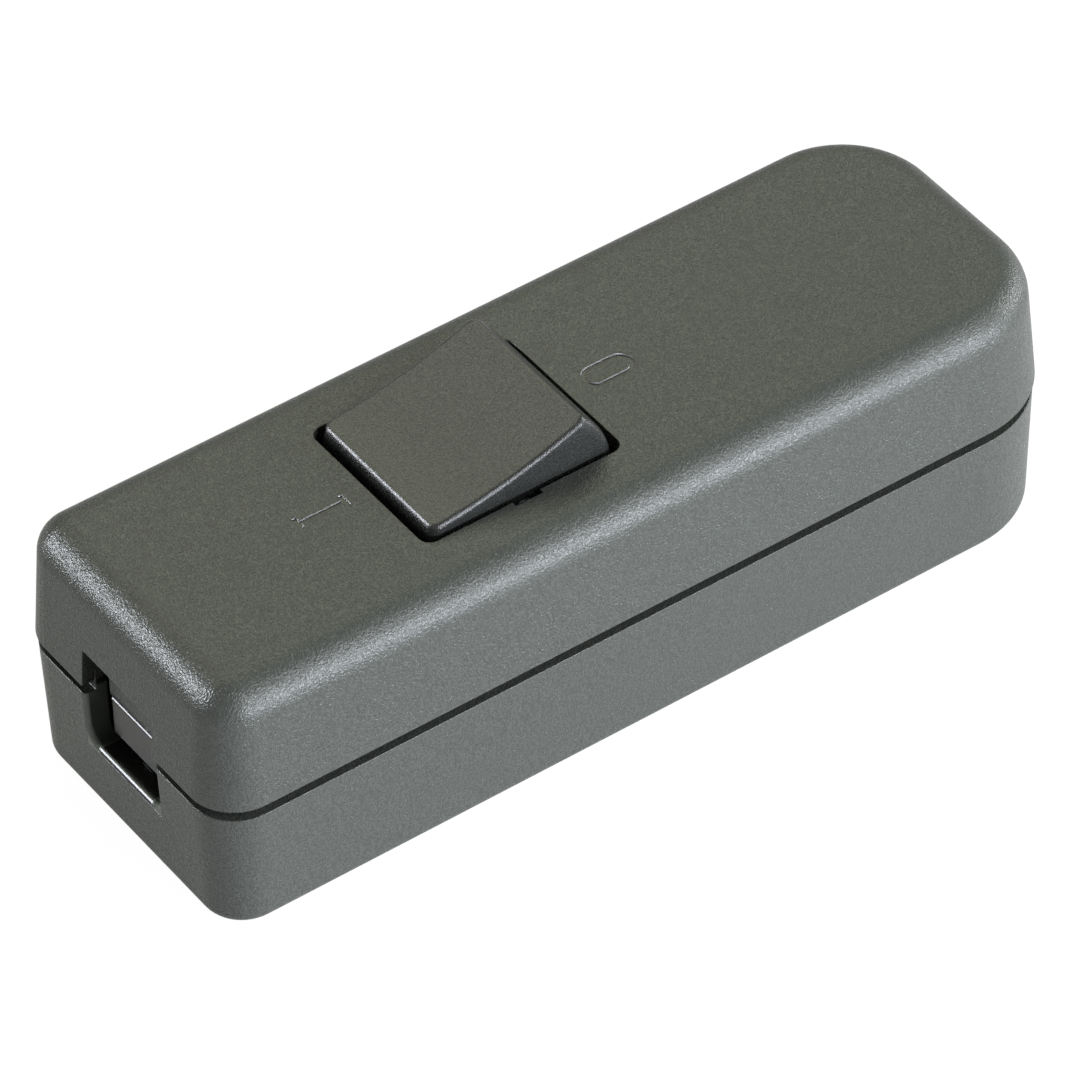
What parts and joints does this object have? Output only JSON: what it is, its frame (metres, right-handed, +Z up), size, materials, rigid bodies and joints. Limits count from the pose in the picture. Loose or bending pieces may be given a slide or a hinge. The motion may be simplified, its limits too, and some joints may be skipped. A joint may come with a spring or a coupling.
{
  "type": "inline cord switch",
  "caption": "Two-pole inline cord switch: a two-part housing with one square and one rounded end and a rocker on top that opens and closes both poles.",
  "frame": {"origin": "centre of the underside", "axes": "+X along the housing to its rounded end, -Y the front long side of the picture, +Z up out of the rocker"},
  "size_m": [0.08, 0.0278, 0.0272],
  "materials": {
    "housing_plastic": "black plastic with a fine eroded grain",
    "rocker_plastic": "black plastic, finer and glossier on its rounded edges",
    "clamp_plastic": "smooth black plastic",
    "plunger_nylon": "natural nylon",
    "terminal_brass": "stamped and machined brass",
    "contact_silver": "silver contact alloy",
    "screw_steel": "zinc-plated steel",
    "spring_steel": "drawn spring steel"
  },
  "bodies": {
    "housing": {"base_shell": "housing_plastic", "cover_shell": "housing_plastic", "earth_connector": "terminal_brass", "centre_terminal_front": "terminal_brass", "fixed_terminal_front": "terminal_brass", "fixed_contact_front": "contact_silver", "centre_screw_front": "screw_steel", "fixed_screw_front": "screw_steel", "centre_terminal_rear": "terminal_brass", "fixed_terminal_rear": "terminal_brass", "fixed_contact_rear": "contact_silver", "centre_screw_rear": "screw_steel", "fixed_screw_rear": "screw_steel", "earth_screw_near": "screw_steel", "clamp_bar_near": "clamp_plastic", "clamp_screw_near_front": "screw_steel", "clamp_screw_near_rear": "screw_steel", "housing_screw_near": "screw_steel", "earth_screw_far": "screw_steel", "clamp_bar_far": "clamp_plastic", "clamp_screw_far_front": "screw_steel", "clamp_screw_far_rear": "screw_steel", "housing_screw_far": "screw_steel"},
    "rocker": {"rocker": "rocker_plastic", "plunger_spring_front": "spring_steel", "plunger_spring_rear": "spring_steel"},
    "plunger_front": {"plunger_front": "plunger_nylon"},
    "contact_bridge_front": {"contact_bridge_front": "terminal_brass", "moving_contact_front": "contact_silver"},
    "plunger_rear": {"plunger_rear": "plunger_nylon"},
    "contact_bridge_rear": {"contact_bridge_rear": "terminal_brass", "moving_contact_rear": "contact_silver"}
  },
  "joints": [
    {"name": "rocker_tilt", "type": "hinge", "parent": "housing", "child": "rocker", "pos_m": [-0.0079, 0, 0.0211], "axis": [0, 1, 0], "range_deg": [0, 27.6]},
    {"name": "plunger_slide_front", "type": "slide", "parent": "rocker", "child": "plunger_front", "axis": [-0.2385, 0, 0.9711], "range_m": [0, 0.0008], "stiffness_N_per_m": 400, "springref_m": -0.002, "deforming": ["plunger_spring_front"]},
    {"name": "bridge_tilt_front", "type": "hinge", "parent": "housing", "child": "contact_bridge_front", "pos_m": [-0.0079, -0.0036, 0.01115], "axis": [0, 1, 0], "range_deg": [-14, 0]},
    {"name": "plunger_slide_rear", "type": "slide", "parent": "rocker", "child": "plunger_rear", "axis": [-0.2385, 0, 0.9711], "range_m": [0, 0.0008], "stiffness_N_per_m": 400, "springref_m": -0.002, "deforming": ["plunger_spring_rear"]},
    {"name": "bridge_tilt_rear", "type": "hinge", "parent": "housing", "child": "contact_bridge_rear", "pos_m": [-0.0079, 0.0036, 0.01115], "axis": [0, 1, 0], "range_deg": [-14, 0]}
  ],
  "couplings": [
    {"joint": "bridge_tilt_front", "follows": "rocker_tilt", "ratio": -0.50724},
    {"joint": "bridge_tilt_rear", "follows": "rocker_tilt", "ratio": -0.50724}
  ]
}
